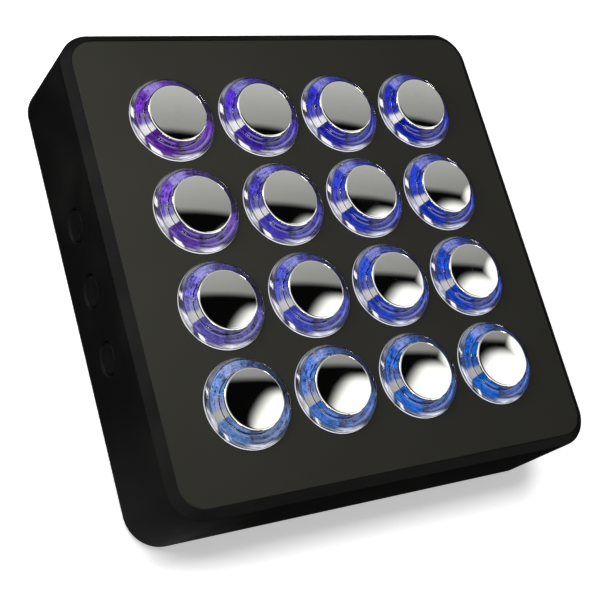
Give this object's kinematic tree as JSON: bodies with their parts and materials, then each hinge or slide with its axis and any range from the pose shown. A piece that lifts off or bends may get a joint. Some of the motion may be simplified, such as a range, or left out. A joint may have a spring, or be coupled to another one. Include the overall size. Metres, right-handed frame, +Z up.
{
  "type": "midi controller",
  "caption": "Square desktop midi controller: dark case, face plate with a grid of lit clear push buttons with mirror caps, side buttons and a square data socket.",
  "frame": {"origin": "centre of the case's footprint, on the surface that the rubber feet stand on", "axes": "+Z up out of the face with the buttons, +Y towards the back wall with the data socket, +X to the right of a user who faces it"},
  "size_m": [0.1514, 0.1514, 0.043],
  "materials": {
    "case_plastic": "satin",
    "cover_plastic": "matte",
    "plate_paint": "matte",
    "side_button_plastic": "satin",
    "clear_plastic": "gloss",
    "mirror_cap": "polished",
    "foot_rubber": "matte",
    "screw_steel": "satin",
    "board_laminate": "satin",
    "light_package": "satin",
    "chip_plastic": "matte",
    "switch_plastic": "satin",
    "socket_steel": "satin",
    "socket_plastic": "satin"
  },
  "bodies": {
    "controller": {"case_body": "case_plastic", "face_plate": "plate_paint", "base_cover": "cover_plastic", "rubber_feet": "foot_rubber", "base_screws": "screw_steel", "led_board": "board_laminate", "ring_leds": "light_package", "led_board_screws": "screw_steel", "main_board": "board_laminate", "board_chips": "chip_plastic", "board_header": "chip_plastic", "data_socket_shield": "socket_steel", "data_socket_insulator": "socket_plastic", "left_side_board": "board_laminate", "right_side_board": "board_laminate", "side_switches": "switch_plastic", "button_switches_row_1": "switch_plastic", "button_switches_row_2": "switch_plastic", "button_switches_row_3": "switch_plastic", "button_switches_row_4": "switch_plastic", "button_housing_1": "clear_plastic", "button_housing_2": "clear_plastic", "button_housing_3": "clear_plastic", "button_housing_4": "clear_plastic", "button_housing_5": "clear_plastic", "button_housing_6": "clear_plastic", "button_housing_7": "clear_plastic", "button_housing_8": "clear_plastic", "button_housing_9": "clear_plastic", "button_housing_10": "clear_plastic", "button_housing_11": "clear_plastic", "button_housing_12": "clear_plastic", "button_housing_13": "clear_plastic", "button_housing_14": "clear_plastic", "button_housing_15": "clear_plastic", "button_housing_16": "clear_plastic"},
    "button_1": {"button_plunger_1": "mirror_cap"},
    "button_2": {"button_plunger_2": "mirror_cap"},
    "button_3": {"button_plunger_3": "mirror_cap"},
    "button_4": {"button_plunger_4": "mirror_cap"},
    "button_5": {"button_plunger_5": "mirror_cap"},
    "button_6": {"button_plunger_6": "mirror_cap"},
    "button_7": {"button_plunger_7": "mirror_cap"},
    "button_8": {"button_plunger_8": "mirror_cap"},
    "button_9": {"button_plunger_9": "mirror_cap"},
    "button_10": {"button_plunger_10": "mirror_cap"},
    "button_11": {"button_plunger_11": "mirror_cap"},
    "button_12": {"button_plunger_12": "mirror_cap"},
    "button_13": {"button_plunger_13": "mirror_cap"},
    "button_14": {"button_plunger_14": "mirror_cap"},
    "button_15": {"button_plunger_15": "mirror_cap"},
    "button_16": {"button_plunger_16": "mirror_cap"},
    "side_left_1": {"side_button_left_1": "side_button_plastic"},
    "side_left_2": {"side_button_left_2": "side_button_plastic"},
    "side_left_3": {"side_button_left_3": "side_button_plastic"},
    "side_right_1": {"side_button_right_1": "side_button_plastic"},
    "side_right_2": {"side_button_right_2": "side_button_plastic"},
    "side_right_3": {"side_button_right_3": "side_button_plastic"}
  },
  "joints": [
    {"name": "button_1_press", "type": "slide", "parent": "controller", "child": "button_1", "axis": [0, 0, -1], "range_m": [0, 0.0026], "stiffness_N_per_m": 280, "springref_m": -0.0015},
    {"name": "button_2_press", "type": "slide", "parent": "controller", "child": "button_2", "axis": [0, 0, -1], "range_m": [0, 0.0026], "stiffness_N_per_m": 280, "springref_m": -0.0015},
    {"name": "button_3_press", "type": "slide", "parent": "controller", "child": "button_3", "axis": [0, 0, -1], "range_m": [0, 0.0026], "stiffness_N_per_m": 280, "springref_m": -0.0015},
    {"name": "button_4_press", "type": "slide", "parent": "controller", "child": "button_4", "axis": [0, 0, -1], "range_m": [0, 0.0026], "stiffness_N_per_m": 280, "springref_m": -0.0015},
    {"name": "button_5_press", "type": "slide", "parent": "controller", "child": "button_5", "axis": [0, 0, -1], "range_m": [0, 0.0026], "stiffness_N_per_m": 280, "springref_m": -0.0015},
    {"name": "button_6_press", "type": "slide", "parent": "controller", "child": "button_6", "axis": [0, 0, -1], "range_m": [0, 0.0026], "stiffness_N_per_m": 280, "springref_m": -0.0015},
    {"name": "button_7_press", "type": "slide", "parent": "controller", "child": "button_7", "axis": [0, 0, -1], "range_m": [0, 0.0026], "stiffness_N_per_m": 280, "springref_m": -0.0015},
    {"name": "button_8_press", "type": "slide", "parent": "controller", "child": "button_8", "axis": [0, 0, -1], "range_m": [0, 0.0026], "stiffness_N_per_m": 280, "springref_m": -0.0015},
    {"name": "button_9_press", "type": "slide", "parent": "controller", "child": "button_9", "axis": [0, 0, -1], "range_m": [0, 0.0026], "stiffness_N_per_m": 280, "springref_m": -0.0015},
    {"name": "button_10_press", "type": "slide", "parent": "controller", "child": "button_10", "axis": [0, 0, -1], "range_m": [0, 0.0026], "stiffness_N_per_m": 280, "springref_m": -0.0015},
    {"name": "button_11_press", "type": "slide", "parent": "controller", "child": "button_11", "axis": [0, 0, -1], "range_m": [0, 0.0026], "stiffness_N_per_m": 280, "springref_m": -0.0015},
    {"name": "button_12_press", "type": "slide", "parent": "controller", "child": "button_12", "axis": [0, 0, -1], "range_m": [0, 0.0026], "stiffness_N_per_m": 280, "springref_m": -0.0015},
    {"name": "button_13_press", "type": "slide", "parent": "controller", "child": "button_13", "axis": [0, 0, -1], "range_m": [0, 0.0026], "stiffness_N_per_m": 280, "springref_m": -0.0015},
    {"name": "button_14_press", "type": "slide", "parent": "controller", "child": "button_14", "axis": [0, 0, -1], "range_m": [0, 0.0026], "stiffness_N_per_m": 280, "springref_m": -0.0015},
    {"name": "button_15_press", "type": "slide", "parent": "controller", "child": "button_15", "axis": [0, 0, -1], "range_m": [0, 0.0026], "stiffness_N_per_m": 280, "springref_m": -0.0015},
    {"name": "button_16_press", "type": "slide", "parent": "controller", "child": "button_16", "axis": [0, 0, -1], "range_m": [0, 0.0026], "stiffness_N_per_m": 280, "springref_m": -0.0015},
    {"name": "side_left_1_press", "type": "slide", "parent": "controller", "child": "side_left_1", "axis": [1, 0, 0], "range_m": [0, 0.0008], "stiffness_N_per_m": 600, "springref_m": -0.001},
    {"name": "side_left_2_press", "type": "slide", "parent": "controller", "child": "side_left_2", "axis": [1, 0, 0], "range_m": [0, 0.0008], "stiffness_N_per_m": 600, "springref_m": -0.001},
    {"name": "side_left_3_press", "type": "slide", "parent": "controller", "child": "side_left_3", "axis": [1, 0, 0], "range_m": [0, 0.0008], "stiffness_N_per_m": 600, "springref_m": -0.001},
    {"name": "side_right_1_press", "type": "slide", "parent": "controller", "child": "side_right_1", "axis": [-1, 0, 0], "range_m": [0, 0.0008], "stiffness_N_per_m": 600, "springref_m": -0.001},
    {"name": "side_right_2_press", "type": "slide", "parent": "controller", "child": "side_right_2", "axis": [-1, 0, 0], "range_m": [0, 0.0008], "stiffness_N_per_m": 600, "springref_m": -0.001},
    {"name": "side_right_3_press", "type": "slide", "parent": "controller", "child": "side_right_3", "axis": [-1, 0, 0], "range_m": [0, 0.0008], "stiffness_N_per_m": 600, "springref_m": -0.001}
  ]
}
